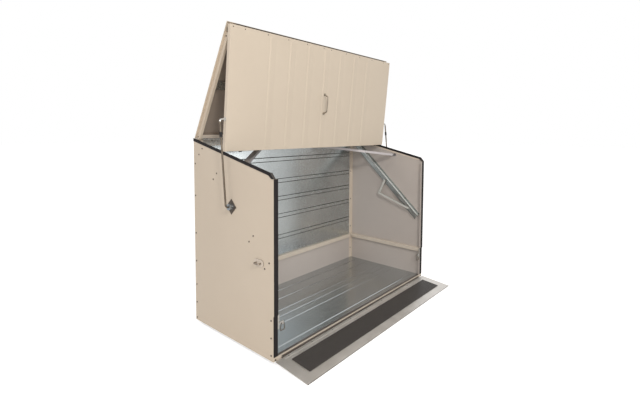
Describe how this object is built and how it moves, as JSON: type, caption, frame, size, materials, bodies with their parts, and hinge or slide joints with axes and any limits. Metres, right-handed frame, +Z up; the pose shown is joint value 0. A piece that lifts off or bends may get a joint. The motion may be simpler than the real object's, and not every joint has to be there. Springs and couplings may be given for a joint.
{
  "type": "bicycle locker",
  "caption": "Free-standing sheet-steel bicycle locker with a lifting roof and front panel on stay rods, and a fold-down ramp.",
  "frame": {"origin": "centre of the footprint of the box, on the ground", "axes": "+X to the right seen from the open front, +Y to the back, +Z up"},
  "size_m": [1.998, 1.1378, 2.1262],
  "materials": {
    "cream_paint": "satin powder coat",
    "light_beige_paint": "satin powder coat",
    "grey_beige_paint": "satin powder coat",
    "galvanised_sheet": "spangled galvanised sheet",
    "aluminium_plate": "mill-finish aluminium sheet",
    "zinc_hardware": "bright zinc plate",
    "fastener_steel": "dull zinc",
    "dark_hinge": "dark hinge steel",
    "black_rubber": "matt rubber"
  },
  "bodies": {
    "shell": {"back_mid_rail": "light_beige_paint", "back_wall_lower": "grey_beige_paint", "back_wall_upper": "galvanised_sheet", "catch_brackets": "zinc_hardware", "channel_screws": "fastener_steel", "floor_bearers": "galvanised_sheet", "floor_panel": "galvanised_sheet", "floor_sill": "light_beige_paint", "gas_cylinders": "zinc_hardware", "hinge_pins": "zinc_hardware", "left_corner_brace": "zinc_hardware", "left_front_seal": "black_rubber", "left_lock_staple": "zinc_hardware", "left_mid_rail": "light_beige_paint", "left_pivot_plate": "zinc_hardware", "left_rear_post": "light_beige_paint", "left_side_wall": "cream_paint", "left_strut_channel": "galvanised_sheet", "left_top_seal": "black_rubber", "ramp_hinge_base": "dark_hinge", "rear_hinge_leaf": "zinc_hardware", "rear_top_rail": "light_beige_paint", "right_corner_brace": "zinc_hardware", "right_front_seal": "black_rubber", "right_lock_staple": "zinc_hardware", "right_mid_rail": "light_beige_paint", "right_pivot_plate": "zinc_hardware", "right_rear_post": "light_beige_paint", "right_side_wall": "cream_paint", "right_strut_channel": "galvanised_sheet", "right_top_seal": "black_rubber", "wall_screws": "fastener_steel"},
    "roof": {"left_roof_channel": "cream_paint", "right_roof_channel": "cream_paint", "roof_bolts": "fastener_steel", "roof_cross_brace": "galvanised_sheet", "roof_front_leaf": "dark_hinge", "roof_front_rail": "cream_paint", "roof_rear_leaf": "zinc_hardware", "roof_rear_rail": "light_beige_paint", "roof_sheet": "cream_paint"},
    "panel_pins": {"rod_end_pins": "zinc_hardware"},
    "front_panel": {"front_panel_sheet": "cream_paint", "panel_hinge_leaf": "dark_hinge", "panel_stiffeners": "cream_paint", "panel_rivets": "fastener_steel", "panel_bumpers": "black_rubber", "handle_bow": "zinc_hardware"},
    "left_stay": {"left_stay_rod": "zinc_hardware"},
    "right_stay": {"right_stay_rod": "zinc_hardware"},
    "left_link": {"left_link": "zinc_hardware"},
    "right_link": {"right_link": "zinc_hardware"},
    "left_slider": {"left_slider": "zinc_hardware"},
    "right_slider": {"right_slider": "zinc_hardware"},
    "left_ring": {"left_catch_ring": "zinc_hardware"},
    "right_ring": {"right_catch_ring": "zinc_hardware"},
    "ramp": {"ramp_plate": "aluminium_plate", "ramp_mat": "black_rubber", "ramp_hinge_leaf": "dark_hinge", "ramp_screws": "fastener_steel"}
  },
  "joints": [
    {"name": "roof_hinge", "type": "hinge", "parent": "shell", "child": "roof", "pos_m": [0, 0.409, 1.358], "axis": [1, 0, 0], "range_deg": [0, 74.76]},
    {"name": "panel_carry", "type": "hinge", "parent": "shell", "child": "panel_pins", "pos_m": [0, -0.13665, 0.98242], "axis": [1, 0, 0], "range_deg": [0, 164.12]},
    {"name": "panel_pivot", "type": "hinge", "parent": "panel_pins", "child": "front_panel", "pos_m": [0, 0.03741, 1.49649], "axis": [1, 0, 0], "range_deg": [-169.52, 0]},
    {"name": "left_stay_pivot", "type": "hinge", "parent": "shell", "child": "left_stay", "pos_m": [-0.99, -0.018, 0.923], "axis": [1, 0, 0], "range_deg": [0, 137.76]},
    {"name": "left_crank_pin", "type": "hinge", "parent": "left_stay", "child": "left_link", "pos_m": [-0.905, 0.04485, 0.79122], "axis": [1, 0, 0], "range_deg": [-102.47, 0]},
    {"name": "left_slider_travel", "type": "slide", "parent": "shell", "child": "left_slider", "axis": [0, 0.7292, 0.6843], "range_m": [0, 0.14473]},
    {"name": "left_ring_swing", "type": "hinge", "parent": "shell", "child": "left_ring", "pos_m": [-0.87, -0.4243, 0.243], "axis": [1, 0, 0], "range_deg": [0, 80]},
    {"name": "right_stay_pivot", "type": "hinge", "parent": "shell", "child": "right_stay", "pos_m": [0.99, -0.018, 0.923], "axis": [1, 0, 0], "range_deg": [0, 137.76]},
    {"name": "right_crank_pin", "type": "hinge", "parent": "right_stay", "child": "right_link", "pos_m": [0.905, 0.04485, 0.79122], "axis": [1, 0, 0], "range_deg": [-102.47, 0]},
    {"name": "right_slider_travel", "type": "slide", "parent": "shell", "child": "right_slider", "axis": [0, 0.7292, 0.6843], "range_m": [0, 0.14473]},
    {"name": "right_ring_swing", "type": "hinge", "parent": "shell", "child": "right_ring", "pos_m": [0.87, -0.4243, 0.243], "axis": [1, 0, 0], "range_deg": [0, 80]},
    {"name": "ramp_hinge", "type": "hinge", "parent": "shell", "child": "ramp", "pos_m": [0, -0.432, 0.03703], "axis": [-1, 0, 0], "range_deg": [0, 95.6]}
  ],
  "couplings": [
    {"joint": "panel_carry", "follows": "roof_hinge", "ratio": 2.1952},
    {"joint": "panel_pivot", "follows": "roof_hinge", "ratio": -2.2674},
    {"joint": "left_stay_pivot", "follows": "roof_hinge", "ratio": 1.8425},
    {"joint": "left_crank_pin", "follows": "roof_hinge", "ratio": -1.3705},
    {"joint": "left_slider_travel", "follows": "roof_hinge", "m_per_rad": 0.11084},
    {"joint": "right_stay_pivot", "follows": "roof_hinge", "ratio": 1.8425},
    {"joint": "right_crank_pin", "follows": "roof_hinge", "ratio": -1.3705},
    {"joint": "right_slider_travel", "follows": "roof_hinge", "m_per_rad": 0.11084}
  ]
}
